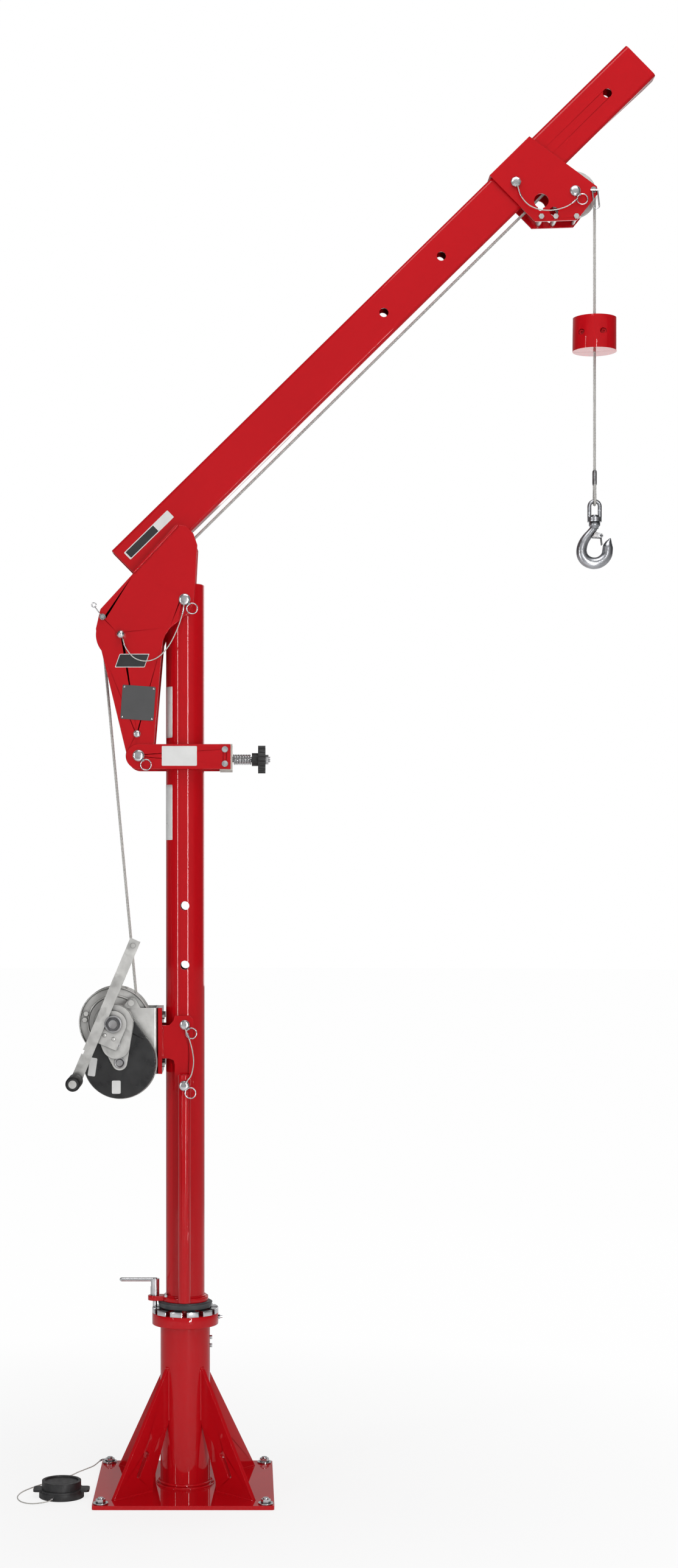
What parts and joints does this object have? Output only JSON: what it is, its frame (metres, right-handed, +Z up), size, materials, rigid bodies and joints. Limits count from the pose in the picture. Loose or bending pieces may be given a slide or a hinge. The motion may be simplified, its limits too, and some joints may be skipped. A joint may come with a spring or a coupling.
{
  "type": "portable davit crane with hand winch",
  "caption": "Portable davit crane: mast in a gusseted pedestal, angled boom, hand crank winch, wire rope over sheaves, rope weight and swivel hook.",
  "frame": {"origin": "mast axis where it meets the floor under the base plate", "axes": "+Z up along the mast, +X level under the boom, +Y away from the crank side"},
  "size_m": [1.4612, 0.4263, 3.3191],
  "materials": {
    "red_paint": "gloss powder coat",
    "zinc": "zinc plated",
    "chrome": "bright plated",
    "black_paint": "semi gloss black",
    "black_plastic": "moulded",
    "grey_seal": "satin grey",
    "bronze": "machined",
    "white_plastic": "machined",
    "rope": "galvanised strand",
    "gear_steel": "machined",
    "grey_block": "cast"
  },
  "bodies": {
    "pedestal": {"base_plate": "red_paint", "anchor_bolts": "zinc", "pedestal_tube": "red_paint", "gussets": "red_paint", "pedestal_collar": "red_paint", "index_ring": "zinc", "mast_seal": "grey_seal", "mast_bushings": "bronze", "thrust_pad": "white_plastic", "pedestal_fittings": "zinc", "lanyard_tab": "zinc", "cap_lanyard": "rope", "socket_cap": "black_plastic"},
    "mast": {"mast_tube": "red_paint", "mast_flange": "red_paint", "plunger_barrel": "chrome", "knuckle_plates": "red_paint", "knuckle_spacers": "zinc", "knuckle_pins": "chrome", "keeper_clip": "chrome", "boom_tube": "red_paint", "head_sleeve": "red_paint", "head_pins": "chrome", "head_spacers": "zinc", "head_shackle": "chrome", "pin_lanyards": "rope", "clamp_arms": "red_paint", "clamp_block": "grey_block", "clamp_screws": "chrome", "clamp_spring": "zinc", "winch_bracket": "red_paint", "bracket_pins": "chrome", "bracket_bolts": "zinc", "winch_frame": "zinc", "winch_bushings": "bronze", "gear_cover": "black_paint", "cover_back_plate": "zinc", "brake_plates": "zinc", "rope_run": "rope"},
    "plunger": {"lock_plunger": "chrome"},
    "clamp_screw": {"clamp_rod": "zinc", "clamp_knob": "black_plastic"},
    "handle": {"swing_handle": "red_paint"},
    "drum": {"rope_drum": "zinc", "drum_gear": "gear_steel", "rope_winding": "rope"},
    "layshaft": {"lay_shaft": "gear_steel", "lay_gear": "gear_steel"},
    "crank": {"crank_shaft": "gear_steel", "crank_arm": "zinc"},
    "grip": {"crank_grip": "black_plastic"},
    "pawl": {"ratchet_pawl": "zinc"},
    "knuckle_wheel": {"knuckle_sheave": "zinc"},
    "head_wheel": {"head_sheave": "zinc"},
    "load_line": {"load_weight": "red_paint", "rope_eye": "rope", "hook_bail": "chrome", "rope_drop": "rope"},
    "hook_body": {"hook": "chrome"},
    "latch": {"hook_latch": "zinc"}
  },
  "joints": [
    {"name": "mast_rotation", "type": "hinge", "parent": "pedestal", "child": "mast", "pos_m": [0, 0, 0.403], "axis": [0, 0, 1], "continuous": true},
    {"name": "index_plunger", "type": "slide", "parent": "mast", "child": "plunger", "axis": [0, 0, 1], "range_m": [-0.0105, 0]},
    {"name": "clamp_knob_turn", "type": "hinge", "parent": "mast", "child": "clamp_screw", "pos_m": [0.17, 0, 1.678], "axis": [1, 0, 0], "range_deg": [-180, 180]},
    {"name": "handle_swing", "type": "hinge", "parent": "mast", "child": "handle", "pos_m": [0, -0.07615, 0.933], "axis": [0, 1, 0], "range_deg": [-90, 60]},
    {"name": "drum_spin", "type": "hinge", "parent": "mast", "child": "drum", "pos_m": [-0.161, 0, 1.074], "axis": [0, 1, 0], "continuous": true},
    {"name": "layshaft_spin", "type": "hinge", "parent": "mast", "child": "layshaft", "pos_m": [-0.14692, 0, 0.98511], "axis": [0, 1, 0], "continuous": true},
    {"name": "crank_spin", "type": "hinge", "parent": "mast", "child": "crank", "pos_m": [-0.161, 0, 1.074], "axis": [0, 1, 0], "continuous": true},
    {"name": "grip_spin", "type": "hinge", "parent": "crank", "child": "grip", "pos_m": [-0.24456, -0.165, 0.94712], "axis": [0, 1, 0], "continuous": true},
    {"name": "pawl_lift", "type": "hinge", "parent": "mast", "child": "pawl", "pos_m": [-0.121, -0.0835, 1.121], "axis": [0, 1, 0], "range_deg": [0, 30], "stiffness_Nm_per_rad": 0.05, "springref_deg": -17.19},
    {"name": "knuckle_sheave_spin", "type": "hinge", "parent": "mast", "child": "knuckle_wheel", "pos_m": [-0.1456, 0, 1.9607], "axis": [0, 1, 0], "continuous": true},
    {"name": "head_sheave_spin", "type": "hinge", "parent": "mast", "child": "head_wheel", "pos_m": [0.8955, 0, 2.981], "axis": [0, 1, 0], "continuous": true},
    {"name": "hook_lift", "type": "slide", "parent": "mast", "child": "load_line", "axis": [0, 0, 1], "range_m": [-2.09, 0.15], "deforming": ["rope_drop"]},
    {"name": "hook_swivel", "type": "hinge", "parent": "load_line", "child": "hook_body", "pos_m": [0.945, 0, 2.222], "axis": [0, 0, 1], "continuous": true},
    {"name": "hook_latch_swing", "type": "hinge", "parent": "hook_body", "child": "latch", "pos_m": [0.959, 0, 2.194], "axis": [0, 1, 0], "range_deg": [0, 40], "stiffness_Nm_per_rad": 0.03, "springref_deg": -17.19}
  ],
  "couplings": [
    {"joint": "layshaft_spin", "follows": "drum_spin", "ratio": -4},
    {"joint": "crank_spin", "follows": "drum_spin", "ratio": 16},
    {"joint": "knuckle_sheave_spin", "follows": "drum_spin", "ratio": -1.2222},
    {"joint": "head_sheave_spin", "follows": "drum_spin", "ratio": -1.1111}
  ]
}
